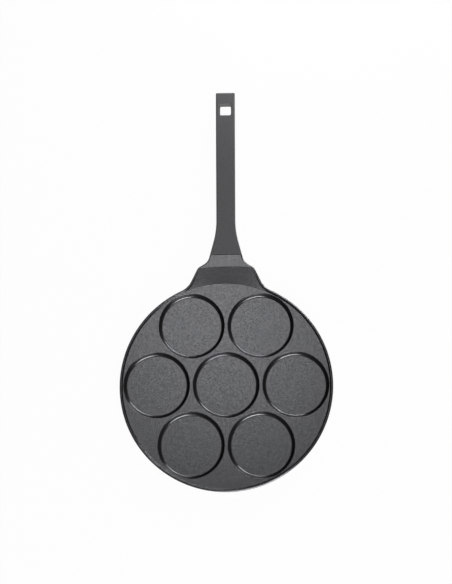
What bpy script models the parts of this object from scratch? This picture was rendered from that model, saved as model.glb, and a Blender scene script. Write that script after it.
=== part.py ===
"""A cast pancake pan with seven round recesses, a low rim and a straight moulded handle.

Units are metres. +X is to the right, +Y runs to the end of the handle and +Z is up.
The origin is the centre of the flat base face that stands on the hob.

Four pieces: the casting with its neck and tang, the moulded handle that slides over
the tang, and the screw and spring washer that hold it from below.
"""
import bpy
import bmesh
from math import asin, atan2, cos, hypot, pi, radians, sin, sqrt, tan
from mathutils import Matrix, Vector

MM = 0.001

# The casting: heights
BASE_THICKNESS = 6.0 * MM         # metal under the floor of a recess
RECESS_DEPTH = 4.6 * MM
RIM_HEIGHT = 2.4 * MM             # rim above the flat land between the recesses
WALL_FOOT_Z = 1.5 * MM            # underside of the wall and the neck, above the hob

# The casting: the recesses
RECESS_COUNT = 6                  # in the ring round the central one
RECESS_RADIUS = 41.9 * MM         # where the land ends
RECESS_WALL_RUN = 4.7 * MM        # from there in to where the flat floor starts
RECESS_BRIDGE = 4.2 * MM          # land between two neighbours
RECESS_TO_WALL = 1.3 * MM         # land between a recess and the rim's inner wall
RECESS_TOP_ROUND = 0.9 * MM
RECESS_FLOOR_ROUND = 2.0 * MM

# The casting: the rim
RIM_WALL_RUN = 1.3 * MM           # the rim's inner wall leans this far out on its way up
RIM_TOP_WIDTH = 2.5 * MM
RIM_INNER_EDGE = 0.4 * MM
PAD_INSET = 18.0 * MM             # the turned face that stands on the hob ends inside the rim
PAD_RUN = 7.0 * MM                # the slope from the pad out to the underside

# The casting: the bay in front of the handle, and the neck, in distances past the rim
LIP_PAST_RIM = 18.8 * MM          # the bay's sloping face ends here, level with the rim
LIP_ROUND = 350.0 * MM            # radius of the lip, seen from above
BAY_CORNER = 13.0 * MM
BAY_STEP = 0.1 * MM               # the sloping face starts this far above the land
BAY_BEHIND_LIP = 0.4 * MM
FLANK_X = 42.7 * MM               # a point on the flank
FLANK_PAST_RIM = 4.0 * MM
FLANK_ANGLE = radians(25.5)       # from +Y, closing towards the handle
FLANK_ROOT_ROUND = 27.0 * MM      # between the rim's circle and the flank
SHOULDER_X = 31.6 * MM            # a point on the shoulder
SHOULDER_PAST_RIM = 20.3 * MM
SHOULDER_ANGLE = radians(32.0)    # from the X axis
SHOULDER_ROUND = 10.0 * MM
NECK_ROUND = 14.0 * MM            # between the shoulder and the flare
FLARE_ANGLE = radians(15.0)       # from +Y, shared by the neck and the handle's foot

# The seam, where the handle meets the neck
SEAM_PAST_RIM = 34.3 * MM
SEAM_HALF_WIDTH = 20.85 * MM
FIT_GAP = 0.3 * MM                # between any two pieces that meet

# The outer edges, shared by the casting and the handle
TOP_EDGE = 1.8 * MM
UNDER_EDGE = 3.0 * MM
SIDE_DRAFT = radians(6.0)         # the side walls lean in on their way down

# The handle
HANDLE_LENGTH = 216.5 * MM
GRIP_HALF_WIDTH = 12.3 * MM
END_HALF_WIDTH = 12.55 * MM
FLARE_ROUND = 110.0 * MM          # from the flare to the straight grip
GRIP_DEPTH = 15.0 * MM            # thickness of the grip; at the seam it is the neck's
DEPTH_GROWS_OVER = 70.0 * MM
END_SLOPE = radians(2.2)          # rise at both ends of the handle
MID_SLOPE = radians(5.6)          # rise half way along
FRONT_EDGE = 0.5 * MM
END_EDGE = 1.6 * MM
LEAST_ROUND = 0.2 * MM            # what is left of an edge where an end is rounded

# The hanging hole
HOLE_WIDTH = 14.6 * MM
HOLE_LENGTH = 16.0 * MM
HOLE_TO_END = 14.8 * MM
HOLE_CORNER = 2.0 * MM
HOLE_EDGE = 1.3 * MM              # rounding where the hole meets the handle's skin
HOLE_EDGE_TURN = radians(70.0)    # how much of that rounding is made

# The tang and its socket, measured along the tang
TANG_SLOPE = radians(2.6)
TANG_TOP_WALL = 2.3 * MM          # handle left above the socket at the seam
TANG_UNDER_WALL = 4.6 * MM        # and below it
TANG_LENGTH = 50.0 * MM
TANG_ROOT = 5.0 * MM              # how far its root runs back into the neck
TANG_ROOT_SIDE_WALL = 7.6 * MM    # handle beside the socket at the seam
TANG_TIP_SIDE_WALL = 4.3 * MM     # and beside its tip
TANG_CORNER = 2.5 * MM

# The screw and its spring washer
SCREW_FROM_TIP = 16.0 * MM        # the screw's axis, from the tang's tip
SCREW_DIAMETER = 5.0 * MM
SCREW_HEAD_DIAMETER = 9.6 * MM
SCREW_HEAD_HEIGHT = 2.4 * MM
SCREW_HEAD_DOME = 0.9 * MM        # how much of the head's height is domed
SCREW_BELOW_SKIN = 0.4 * MM       # the head sits this far inside the handle's underside
SCREW_TIP_CHAMFER = 0.6 * MM
DRIVE_WIDTH = 1.2 * MM
DRIVE_SPAN = 5.0 * MM
DRIVE_DEPTH = 1.4 * MM
WASHER_DIAMETER = 9.2 * MM
WASHER_THICKNESS = 1.1 * MM
WASHER_SPLIT = 0.8 * MM
COUNTERBORE_CLEARANCE = 1.0 * MM  # round the head, for the driver's bit

# How finely round shapes are divided
RIM_STEPS = 120
LIP_STEPS = 240
RECESS_STEPS = 40
SMALL_STEPS = 32
FLARE_STEPS = 12
HANDLE_STEPS = 30
CORNER_STEPS = 5
EDGE_STEPS = 3

# Sizes that follow from those above
FLOOR_Z = BASE_THICKNESS
LAND_Z = FLOOR_Z + RECESS_DEPTH
RIM_Z = LAND_Z + RIM_HEIGHT
NECK_DEPTH = RIM_Z - WALL_FOOT_Z
RECESS_SPAN = 2 * RECESS_RADIUS + RECESS_BRIDGE
RECESS_PITCH = max(RECESS_SPAN, RECESS_SPAN / (2 * sin(pi / RECESS_COUNT)))
FOOT_RADIUS = RECESS_PITCH + RECESS_RADIUS + RECESS_TO_WALL
RIM_RADIUS = FOOT_RADIUS + RIM_WALL_RUN + RIM_TOP_WIDTH
LIP_REACH = RIM_RADIUS + LIP_PAST_RIM
SEAM_Y = RIM_RADIUS + SEAM_PAST_RIM
HANDLE_START_Y = SEAM_Y + FIT_GAP
HANDLE_END_Y = HANDLE_START_Y + HANDLE_LENGTH
TANG_DEPTH = NECK_DEPTH - TANG_TOP_WALL - TANG_UNDER_WALL
SCREW_FROM_SEAM = TANG_LENGTH - SCREW_FROM_TIP
CUT_OVER = 2.0 * MM               # how far a cutter runs past the face it opens
MERGE_DISTANCE = 0.00001
SHARP_ANGLE = radians(40.0)


def clear_scene():
    """Remove every object, and the data that would otherwise stay behind."""
    for obj in list(bpy.data.objects):
        bpy.data.objects.remove(obj, do_unlink=True)
    for group in list(bpy.data.collections):
        bpy.data.collections.remove(group)


def new_collection(name):
    """A collection in the scene."""
    group = bpy.data.collections.new(name)
    bpy.context.scene.collection.children.link(group)
    return group


def new_material(name, colour, roughness, metallic):
    """A plain Principled material."""
    material = bpy.data.materials.new(name)
    material.use_nodes = True
    shader = material.node_tree.nodes["Principled BSDF"]
    shader.inputs["Base Color"].default_value = (*colour, 1.0)
    shader.inputs["Roughness"].default_value = roughness
    shader.inputs["Metallic"].default_value = metallic
    return material


def add_object(name, data, group, matrix=None):
    """An object of this mesh or curve, in its collection."""
    obj = bpy.data.objects.new(name, data)
    group.objects.link(obj)
    if matrix is not None:
        obj.matrix_world = matrix
    return obj


def as_cutter(obj):
    """Mark an object as a cutter, so that it is neither rendered nor built."""
    obj.hide_render = True
    obj.display_type = "WIRE"
    return obj


def boolean(target, tool, operation="DIFFERENCE"):
    """Cut the target with a tool, or join the tool to it."""
    modifier = target.modifiers.new(tool.name, "BOOLEAN")
    modifier.operation = operation
    modifier.solver = "EXACT"
    modifier.object = tool


def arc(centre, radius, start, end, steps):
    """Points on an arc, both ends included."""
    turns = [start + (end - start) * i / steps for i in range(steps + 1)]
    return [(centre[0] + radius * cos(a), centre[1] + radius * sin(a)) for a in turns]


def line_crossing(p, p_angle, q, q_angle):
    """Where two lines meet, each given by a point and a direction."""
    px, py = cos(p_angle), sin(p_angle)
    qx, qy = cos(q_angle), sin(q_angle)
    along = ((q[0] - p[0]) * qy - (q[1] - p[1]) * qx) / (px * qy - py * qx)
    return (p[0] + along * px, p[1] + along * py)


def rounded_corner(before, corner, after, radius, steps=CORNER_STEPS):
    """The arc that replaces the corner between two straight stretches."""
    a = Vector((before[0] - corner[0], before[1] - corner[1])).normalized()
    b = Vector((after[0] - corner[0], after[1] - corner[1])).normalized()
    half = a.angle(b) / 2
    centre = Vector(corner) + (a + b).normalized() * (radius / sin(half))
    first = Vector(corner) + a * (radius / tan(half)) - centre
    last = Vector(corner) + b * (radius / tan(half)) - centre
    start = atan2(first.y, first.x)
    turn = (atan2(last.y, last.x) - start + pi) % (2 * pi) - pi
    return arc(centre, radius, start, start + turn, steps)


def mirrored(half):
    """Close a half outline, given on the +X side from front to back, with its mirror image."""
    return half + [(-x, y) for x, y in reversed(half)]


def rounded_outline(corners, radius):
    """A closed outline with each of its corners rounded alike."""
    points = []
    for i, corner in enumerate(corners):
        before, after = corners[i - 1], corners[(i + 1) % len(corners)]
        points += rounded_corner(before, corner, after, radius)
    return points


def drawn_in(x, past_rim, direction, inset):
    """A line of the neck's outline on the +X side, moved inwards: a point and its direction."""
    y = RIM_RADIUS + past_rim
    return (x - inset * sin(direction), y + inset * cos(direction)), direction


def flank_line(inset):
    """The neck's flank."""
    return drawn_in(FLANK_X, FLANK_PAST_RIM, pi / 2 + FLANK_ANGLE, inset)


def root_arc(inset):
    """The hollow corner between the rim's circle and the flank, from the circle on."""
    point, direction = flank_line(-FLANK_ROOT_ROUND)
    beside, along = Vector(point), Vector((cos(direction), sin(direction)))
    reach = RIM_RADIUS + FLANK_ROOT_ROUND
    # Slide back along the flank until the corner's centre is one reach from the pan's centre.
    ahead = beside.dot(along)
    slide = -ahead + sqrt(ahead * ahead - beside.length_squared + reach * reach)
    centre = beside + along * slide
    start = atan2(-centre.y, -centre.x)
    return arc(centre, FLANK_ROOT_ROUND + inset, start, direction - 3 * pi / 2, 2 * CORNER_STEPS)


def neck_half_outline(inset):
    """The casting's outline on the +X side, from the rim's circle to the seam."""
    flank = flank_line(inset)
    shoulder = drawn_in(SHOULDER_X, SHOULDER_PAST_RIM, pi - SHOULDER_ANGLE, inset)
    flare = drawn_in(SEAM_HALF_WIDTH, SEAM_PAST_RIM, pi / 2 + FLARE_ANGLE, inset)
    outer = line_crossing(*flank, *shoulder)
    inner = line_crossing(*shoulder, *flare)
    seam = (SEAM_HALF_WIDTH - inset / cos(FLARE_ANGLE), SEAM_Y)
    points = root_arc(inset)
    points += rounded_corner(flank[0], outer, inner, SHOULDER_ROUND - inset)
    points += rounded_corner(outer, inner, seam, NECK_ROUND + inset)
    return points + [seam]


def pan_outline(inset):
    """The casting's outline: the rim's circle, opened at the back into the neck."""
    neck = neck_half_outline(inset)
    leave = atan2(neck[0][1], neck[0][0])
    circle = arc((0.0, 0.0), RIM_RADIUS - inset, -pi / 2, leave, RIM_STEPS // 2)
    return mirrored(circle[1:-1] + neck) + [circle[0]]


def bay_outline():
    """The bay between the neck's flanks, one rim width inside them."""
    flank, direction = flank_line(RIM_TOP_WIDTH)
    root = root_arc(RIM_TOP_WIDTH)
    back = (0.0, LIP_REACH + BAY_BEHIND_LIP)
    corner = line_crossing(flank, direction, back, pi)
    front = (root[0][0], FOOT_RADIUS / 2)
    return mirrored([front] + root + rounded_corner(flank, corner, back, BAY_CORNER))


def wall_section():
    """The casting's outer wall, from its rounded top edge down: how far drawn in, and height."""
    top = arc((TOP_EDGE, RIM_Z - TOP_EDGE), TOP_EDGE, pi / 2, pi, EDGE_STEPS)
    lean = (NECK_DEPTH - TOP_EDGE - UNDER_EDGE) * tan(SIDE_DRAFT)
    foot = arc((lean + UNDER_EDGE, WALL_FOOT_Z + UNDER_EDGE), UNDER_EDGE, pi, 3 * pi / 2,
               EDGE_STEPS)
    return top + foot


def loft(name, rings, group, matrix=None):
    """A closed solid through rings of equally many points, from one end to the other."""
    form = bmesh.new()
    loops = [[form.verts.new(point) for point in ring] for ring in rings]
    for loop, following in zip(loops, loops[1:]):
        for i in range(len(loop)):
            j = (i + 1) % len(loop)
            form.faces.new((loop[i], loop[j], following[j], following[i]))
    form.faces.new(loops[0])
    form.faces.new(list(reversed(loops[-1])))
    bmesh.ops.recalc_face_normals(form, faces=form.faces)
    mesh = bpy.data.meshes.new(name)
    form.to_mesh(mesh)
    form.free()
    return add_object(name, mesh, group, matrix)


def flat_solid(name, points, low, high, group, matrix=None):
    """A flat outline given a thickness, as a closed mesh."""
    curve = bpy.data.curves.new(name, "CURVE")
    curve.dimensions = "2D"
    curve.fill_mode = "BOTH"
    curve.extrude = (high - low) / 2
    spline = curve.splines.new("POLY")
    spline.points.add(len(points) - 1)
    for point, (x, y) in zip(spline.points, points):
        point.co = (x, y, 0.0, 1.0)
    spline.use_cyclic_u = True
    draft = bpy.data.objects.new(name, curve)
    group.objects.link(draft)
    graph = bpy.context.evaluated_depsgraph_get()
    mesh = bpy.data.meshes.new_from_object(draft.evaluated_get(graph))
    bpy.data.objects.remove(draft, do_unlink=True)
    mesh.transform(Matrix.Translation((0.0, 0.0, (low + high) / 2)))
    solid = bmesh.new()
    solid.from_mesh(mesh)
    bmesh.ops.remove_doubles(solid, verts=solid.verts, dist=MERGE_DISTANCE)
    bmesh.ops.recalc_face_normals(solid, faces=solid.faces)
    solid.to_mesh(mesh)
    solid.free()
    return add_object(name, mesh, group, matrix)


def turned(name, profile, steps, group, matrix=None, closed=False):
    """A profile turned about Z, listed from the top of the axis, or of its ring, down outside."""
    mesh = bpy.data.meshes.new(name)
    verts = [(r, 0.0, z) for r, z in profile]
    edges = [(i, i + 1) for i in range(len(profile) - 1)]
    if closed:
        edges.append((len(profile) - 1, 0))
    mesh.from_pydata(verts, edges, [])
    obj = add_object(name, mesh, group, matrix)
    screw = obj.modifiers.new("turn", "SCREW")
    screw.axis = "Z"
    screw.steps = steps
    screw.render_steps = steps
    screw.use_merge_vertices = True
    screw.merge_threshold = MERGE_DISTANCE
    screw.use_smooth_shade = True
    return obj


def box_cutter(name, size, group, matrix):
    """A box-shaped cutter round a frame's origin."""
    form = bmesh.new()
    bmesh.ops.create_cube(form, size=1.0)
    mesh = bpy.data.meshes.new(name)
    form.to_mesh(mesh)
    form.free()
    mesh.transform(Matrix.Diagonal((*size, 1.0)))
    return as_cutter(add_object(name, mesh, group, matrix))


def smooth(obj, angle=SHARP_ANGLE):
    """Shade an object smooth, apart from its sharp edges."""
    obj.data.shade_smooth()
    obj.data.set_sharp_from_angle(angle=angle)


def recess_profile():
    """Half section of what a recess removes, from the top of its axis to its floor."""
    floor_radius = RECESS_RADIUS - RECESS_WALL_RUN
    rounds = RECESS_TOP_ROUND + RECESS_FLOOR_ROUND
    # The wall is the common tangent of the two roundings.
    up = rounds - RECESS_DEPTH
    lean = asin(rounds / hypot(RECESS_WALL_RUN, up)) - atan2(up, RECESS_WALL_RUN)
    upper = (RECESS_RADIUS, LAND_Z - RECESS_TOP_ROUND)
    lower = (floor_radius, FLOOR_Z + RECESS_FLOOR_ROUND)
    top = arc(upper, RECESS_TOP_ROUND, pi / 2, pi / 2 + lean, EDGE_STEPS)
    foot = arc(lower, RECESS_FLOOR_ROUND, -pi / 2 + lean, -pi / 2, EDGE_STEPS)
    above = [(0.0, LAND_Z + CUT_OVER), (RECESS_RADIUS, LAND_Z + CUT_OVER)]
    return above + top + foot + [(0.0, FLOOR_Z)]


def dish_profile():
    """Half section of what the dish removes, above the land and inside the rim."""
    top_radius = RIM_RADIUS - RIM_TOP_WIDTH
    return [
        (0.0, RIM_Z + CUT_OVER),
        (top_radius + CUT_OVER + RIM_INNER_EDGE, RIM_Z + CUT_OVER),
        (top_radius, RIM_Z - RIM_INNER_EDGE),
        (FOOT_RADIUS, LAND_Z),
        (0.0, LAND_Z),
    ]


def bay_ramp(cutters):
    """What lies above the bay's sloping face, which runs from the land's arc to the flatter lip."""
    def circle(height):
        share = height / RIM_HEIGHT
        radius = FOOT_RADIUS + (LIP_ROUND - FOOT_RADIUS) * share
        centre = (LIP_REACH - LIP_ROUND) * share
        turns = [2 * pi * i / LIP_STEPS for i in range(LIP_STEPS)]
        return [(radius * cos(a), centre + radius * sin(a), LAND_Z + height) for a in turns]
    return loft("bay_ramp_tool", [circle(BAY_STEP), circle(RIM_HEIGHT + CUT_OVER)], cutters)


def pad_profile():
    """The turned base that stands on the hob, up into the underside."""
    radius = RIM_RADIUS - PAD_INSET
    inside = FLOOR_Z / 2
    return [
        (0.0, inside),
        (radius + PAD_RUN * inside / WALL_FOOT_Z, inside),
        (radius, 0.0),
        (0.0, 0.0),
    ]


def tang_frame():
    """Where the tang leaves the neck: its top face on the seam, leaning with the handle."""
    place = Matrix.Translation((0.0, SEAM_Y, RIM_Z - TANG_TOP_WALL - FIT_GAP))
    return place @ Matrix.Rotation(TANG_SLOPE, 4, "X")


def tang_outline(clearance, root, length):
    """The tang from above, tapering to its tip; with a clearance it is the socket."""
    at_root = SEAM_HALF_WIDTH - TANG_ROOT_SIDE_WALL
    at_tip = GRIP_HALF_WIDTH - TANG_TIP_SIDE_WALL
    taper = (at_root - at_tip) / TANG_LENGTH
    back = at_root + taper * root + clearance
    tip = at_root - taper * length + clearance
    corners = [(-back, -root), (back, -root), (tip, length), (-tip, length)]
    return rounded_outline(corners, TANG_CORNER)


def make_pan_body(parts, cutters, material):
    """The casting: slab with neck, base pad and tang, less dish, bay, recesses and bore."""
    rings = [[(x, y, z) for x, y in pan_outline(inset)] for inset, z in wall_section()]
    body = loft("pan_body", rings, parts)
    body.data.materials.append(material)
    smooth(body)
    boolean(body, as_cutter(turned("base_pad_tool", pad_profile(), RIM_STEPS, cutters)), "UNION")
    tang = flat_solid("tang_tool", tang_outline(0.0, TANG_ROOT, TANG_LENGTH), -TANG_DEPTH, 0.0,
                      cutters, tang_frame())
    boolean(body, as_cutter(tang), "UNION")
    boolean(body, as_cutter(turned("dish_tool", dish_profile(), RIM_STEPS, cutters)))
    bay = flat_solid("bay_tool", bay_outline(), LAND_Z - CUT_OVER, RIM_Z + CUT_OVER / 2, cutters)
    boolean(bay, as_cutter(bay_ramp(cutters)), "INTERSECT")
    boolean(body, as_cutter(bay))
    for i in range(RECESS_COUNT + 1):
        reach = 0.0 if i == 0 else RECESS_PITCH
        turn = 2 * pi * i / RECESS_COUNT
        place = Matrix.Translation((reach * cos(turn), reach * sin(turn), 0.0))
        tool = turned("recess_tool_%d" % i, recess_profile(), RECESS_STEPS, cutters, place)
        boolean(body, as_cutter(tool))
    bore_radius = SCREW_DIAMETER / 2 + FIT_GAP
    low = -TANG_DEPTH - CUT_OVER
    profile = [(0.0, CUT_OVER), (bore_radius, CUT_OVER), (bore_radius, low), (0.0, low)]
    bore = turned("bore_tool", profile, SMALL_STEPS, cutters, screw_frame())
    boolean(body, as_cutter(bore))
    return body


def half_width(y):
    """Half the handle's width at this place along it."""
    foot = (SEAM_HALF_WIDTH, SEAM_Y)
    end = (END_HALF_WIDTH, HANDLE_END_Y)
    grip_direction = atan2(HANDLE_LENGTH, END_HALF_WIDTH - GRIP_HALF_WIDTH)
    corner = line_crossing(foot, pi / 2 + FLARE_ANGLE, end, grip_direction)
    outline = [foot] + rounded_corner(foot, corner, end, FLARE_ROUND, FLARE_STEPS) + [end]
    for (x0, y0), (x1, y1) in zip(outline, outline[1:]):
        if y <= y1:
            return x0 + (x1 - x0) * (y - y0) / (y1 - y0)
    return END_HALF_WIDTH


def handle_top(y):
    """Height of the handle's top: it leaves the rim's level gently and levels out again."""
    s = (y - SEAM_Y) / HANDLE_LENGTH
    extra = (tan(MID_SLOPE) - tan(END_SLOPE)) / 2
    return RIM_Z + HANDLE_LENGTH * (tan(END_SLOPE) * s + extra * (s - sin(2 * pi * s) / (2 * pi)))


def handle_depth(y):
    """Thickness of the handle, which changes from the neck's to the grip's."""
    s = min(max((y - SEAM_Y) / DEPTH_GROWS_OVER, 0.0), 1.0)
    return NECK_DEPTH + (GRIP_DEPTH - NECK_DEPTH) * s * s * (3 - 2 * s)


def handle_section(y, inset):
    """The handle's rounded section at y, drawn in by the inset where an end is rounded."""
    wide = half_width(y) - inset
    high = handle_top(y) - inset
    low = handle_top(y) - handle_depth(y) + inset
    upper = max(TOP_EDGE - inset, LEAST_ROUND)
    under = max(UNDER_EDGE - inset, LEAST_ROUND)
    narrow = wide - (handle_depth(y) - TOP_EDGE - UNDER_EDGE) * tan(SIDE_DRAFT)
    half = arc((narrow - under, low + under), under, -pi / 2, 0.0, CORNER_STEPS - 1)
    half += arc((wide - upper, high - upper), upper, 0.0, pi / 2, CORNER_STEPS - 1)
    return [(x, y, z) for x, z in mirrored(half)]


def end_stations(face, inwards, radius):
    """Places round the edge of an end, from its flat face to the full section, with insets."""
    turns = [pi / 2 * i / EDGE_STEPS for i in range(EDGE_STEPS + 1)]
    return [(face + inwards * radius * (1 - cos(a)), radius * (1 - sin(a))) for a in turns]


def handle_rings():
    """The handle's sections from the seam to its end."""
    first, last = HANDLE_START_Y + FRONT_EDGE, HANDLE_END_Y - END_EDGE
    stations = end_stations(HANDLE_START_Y, 1, FRONT_EDGE)
    stations += [(first + (last - first) * i / HANDLE_STEPS, 0.0) for i in range(1, HANDLE_STEPS)]
    stations += reversed(end_stations(HANDLE_END_Y, -1, END_EDGE))
    return [handle_section(y, inset) for y, inset in stations]


def make_handle(parts, cutters, material):
    """The moulded handle, less its socket, the hanging hole and the way for the screw."""
    handle = loft("handle", handle_rings(), parts)
    handle.data.materials.append(material)
    smooth(handle)
    socket = flat_solid("socket_tool", tang_outline(FIT_GAP, TANG_ROOT, TANG_LENGTH + FIT_GAP),
                        -TANG_DEPTH - FIT_GAP, FIT_GAP, cutters, tang_frame())
    boolean(handle, as_cutter(socket))
    boolean(handle, as_cutter(hole_tool(cutters)))
    boolean(handle, as_cutter(screw_way(cutters)))
    return handle


def hole_ring(outset, z):
    """The hanging hole's outline at one height, widened where its edge is rounded."""
    wide, long = HOLE_WIDTH / 2 + outset, HOLE_LENGTH / 2 + outset
    corners = [(-wide, -long), (wide, -long), (wide, long), (-wide, long)]
    return [(x, y, z) for x, y in rounded_outline(corners, HOLE_CORNER + outset)]


def hole_tool(cutters):
    """What the hanging hole removes, square to the handle's top, with both its edges rounded."""
    turns = [HOLE_EDGE_TURN * i / EDGE_STEPS for i in range(EDGE_STEPS + 1)]
    edge = [(HOLE_EDGE * (1 - cos(a)), HOLE_EDGE * (1 - sin(a))) for a in turns]
    edge.append((edge[-1][0] + CUT_OVER * cos(HOLE_EDGE_TURN), -CUT_OVER))
    rings = [hole_ring(outset, -inside) for outset, inside in reversed(edge)]
    rings += [hole_ring(outset, inside - GRIP_DEPTH) for outset, inside in edge]
    y = HANDLE_END_Y - HOLE_TO_END - HOLE_LENGTH / 2
    rise = handle_top(y + HOLE_LENGTH / 2) - handle_top(y - HOLE_LENGTH / 2)
    place = Matrix.Translation((0.0, y, handle_top(y)))
    return loft("hole_tool", rings, cutters, place @ Matrix.Rotation(atan2(rise, HOLE_LENGTH), 4, "X"))


def screw_frame():
    """The screw's axis, square to the tang, with its zero at the tang's top face."""
    return tang_frame() @ Matrix.Translation((0.0, SCREW_FROM_SEAM, 0.0))


def underside_below_tang():
    """Distance along the screw's axis from the tang's top face to the handle's underside."""
    y = SEAM_Y + SCREW_FROM_SEAM * cos(TANG_SLOPE)
    tang_top = tang_frame() @ Vector((0.0, SCREW_FROM_SEAM, 0.0))
    return tang_top.z - (handle_top(y) - handle_depth(y))


def head_face():
    """Where the screw's head ends, along the screw's axis."""
    return -underside_below_tang() + SCREW_BELOW_SKIN


def washer_seat():
    """The floor of the counterbore, on which the spring washer bears."""
    return head_face() + SCREW_HEAD_HEIGHT + WASHER_THICKNESS + 2 * FIT_GAP


def screw_way(cutters):
    """The counterbore for the head and the clearance hole for the shank."""
    wide = SCREW_HEAD_DIAMETER / 2 + COUNTERBORE_CLEARANCE
    shank = SCREW_DIAMETER / 2 + FIT_GAP
    above = -TANG_DEPTH / 2
    below = head_face() - CUT_OVER
    profile = [(0.0, above), (shank, above), (shank, washer_seat()), (wide, washer_seat())]
    profile += [(wide, below), (0.0, below)]
    return turned("screw_way_tool", profile, SMALL_STEPS, cutters, screw_frame())


def make_screw(parts, cutters, material):
    """The screw, from its tip in the tang down to its domed head with a cross slot."""
    shank = SCREW_DIAMETER / 2
    head = SCREW_HEAD_DIAMETER / 2
    seat = head_face() + SCREW_HEAD_HEIGHT
    dome_start = head_face() + SCREW_HEAD_DOME
    dome = [(head * cos(a), dome_start - SCREW_HEAD_DOME * sin(a))
            for a in (pi / 2 * i / CORNER_STEPS for i in range(CORNER_STEPS + 1))]
    profile = [(0.0, 0.0), (shank - SCREW_TIP_CHAMFER, 0.0), (shank, -SCREW_TIP_CHAMFER)]
    profile += [(shank, seat), (head, seat)] + dome[:-1] + [(0.0, dome[-1][1])]
    screw = turned("handle_screw", profile, SMALL_STEPS, parts, screw_frame())
    screw.data.materials.append(material)
    reach = DRIVE_DEPTH + CUT_OVER
    middle = screw_frame() @ Matrix.Translation((0.0, 0.0, head_face() + DRIVE_DEPTH - reach / 2))
    boolean(screw, box_cutter("slot_tool_across", (DRIVE_SPAN, DRIVE_WIDTH, reach), cutters, middle))
    boolean(screw, box_cutter("slot_tool_along", (DRIVE_WIDTH, DRIVE_SPAN, reach), cutters, middle))
    return screw


def make_washer(parts, cutters, material):
    """The split spring washer between the screw's head and the handle."""
    inner, outer = SCREW_DIAMETER / 2 + FIT_GAP, WASHER_DIAMETER / 2
    high = washer_seat() - FIT_GAP
    low = high - WASHER_THICKNESS
    profile = [(inner, high), (outer, high), (outer, low), (inner, low)]
    washer = turned("spring_washer", profile, SMALL_STEPS, parts, screw_frame(), closed=True)
    washer.data.materials.append(material)
    size = (2 * outer, WASHER_SPLIT, 3 * WASHER_THICKNESS)
    place = screw_frame() @ Matrix.Translation((outer, 0.0, (high + low) / 2))
    boolean(washer, box_cutter("split_tool", size, cutters, place))
    return washer


def main():
    clear_scene()
    parts = new_collection("pancake_pan")
    cutters = new_collection("cutters")
    coat = new_material("nonstick_coating", (0.085, 0.086, 0.09), 0.45, 0.3)
    moulding = new_material("handle_moulding", (0.075, 0.073, 0.078), 0.55, 0.0)
    steel = new_material("plated_steel", (0.62, 0.62, 0.6), 0.3, 1.0)
    make_pan_body(parts, cutters, coat)
    make_handle(parts, cutters, moulding)
    make_screw(parts, cutters, steel)
    make_washer(parts, cutters, steel)


main()
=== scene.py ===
"""The looks of a cast pancake pan: its coated casting, moulded handle, screw and spring washer.

Units are metres, in the frame of the solids: +X is to the right, +Y runs to the end of the
handle, +Z is up, and the origin is the middle of the base face that stands on the hob.
"""

from math import asin, atan2, ceil, cos, hypot, pi, radians, sin, sqrt, tan

import bmesh
import bpy
from bpy.props import FloatProperty, FloatVectorProperty, IntProperty, PointerProperty
from bpy.types import Operator, Panel, PropertyGroup
from mathutils import Matrix, Vector


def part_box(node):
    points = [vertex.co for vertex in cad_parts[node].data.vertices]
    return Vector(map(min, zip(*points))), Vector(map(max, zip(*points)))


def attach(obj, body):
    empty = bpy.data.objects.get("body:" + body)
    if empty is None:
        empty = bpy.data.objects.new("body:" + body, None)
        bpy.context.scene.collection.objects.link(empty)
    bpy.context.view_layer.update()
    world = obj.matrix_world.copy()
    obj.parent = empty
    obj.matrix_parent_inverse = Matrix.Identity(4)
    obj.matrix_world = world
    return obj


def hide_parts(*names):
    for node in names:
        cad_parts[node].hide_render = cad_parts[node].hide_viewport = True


bl_info = {
    "name": "Pancake Pan",
    "version": (1, 0, 0),
    "blender": (4, 5, 0),
    "location": "3D View > Sidebar > Pancake Pan",
    "description": "Builds a cast pancake pan with seven recesses and a moulded handle",
    "category": "Object",
}

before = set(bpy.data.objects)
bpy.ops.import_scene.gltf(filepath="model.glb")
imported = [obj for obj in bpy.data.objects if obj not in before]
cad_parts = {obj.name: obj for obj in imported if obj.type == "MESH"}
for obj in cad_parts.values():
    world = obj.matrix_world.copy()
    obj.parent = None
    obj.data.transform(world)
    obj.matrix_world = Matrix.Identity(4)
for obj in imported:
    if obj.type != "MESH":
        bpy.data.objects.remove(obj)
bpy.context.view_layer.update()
PAN_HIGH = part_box("pan_body")[1]
HANDLE_LOW, HANDLE_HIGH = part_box("handle")
HANDLE_LENGTH = HANDLE_HIGH.y - HANDLE_LOW.y

MM = 0.001
FULL_TURN = 2 * pi

# How finely round shapes are divided
RIM_STEPS = 360
RECESS_STEPS = 144
LIP_STEPS = 480
ROOT_STEPS = 16
CORNER_STEPS = 10
EDGE_STEPS = 8
SMALL_STEPS = 64
HANDLE_STEPS = 90
FLARE_STEPS = 24
THREAD_ROWS = 10                  # sections in one turn of the thread
WASHER_STEPS = 96
WASHER_EDGE_STEPS = 3

CUT_OVER = 2.0 * MM               # how far a cutter runs past the face it opens
MERGE_DISTANCE = 0.001 * MM
SHARP_ANGLE = radians(35.0)
FLAT_WEIGHT = 100                 # how much a large face bends the shading of its edges to it


def length(name, description, millimetres):
    """A property that holds a length."""
    return FloatProperty(name=name, description=description, default=millimetres * MM,
                         min=0.0, unit="LENGTH", precision=5)


def angle(name, description, degrees):
    """A property that holds an angle."""
    return FloatProperty(name=name, description=description, default=radians(degrees),
                         unit="ROTATION")


def share(name, description, value):
    """A property that holds a share from 0 to 1."""
    return FloatProperty(name=name, description=description, default=value,
                         min=0.0, max=1.0, subtype="FACTOR")


def colour(name, description, value):
    """A property that holds a linear colour."""
    return FloatVectorProperty(name=name, description=description, default=value,
                               size=3, min=0.0, max=1.0, subtype="COLOR")


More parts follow.
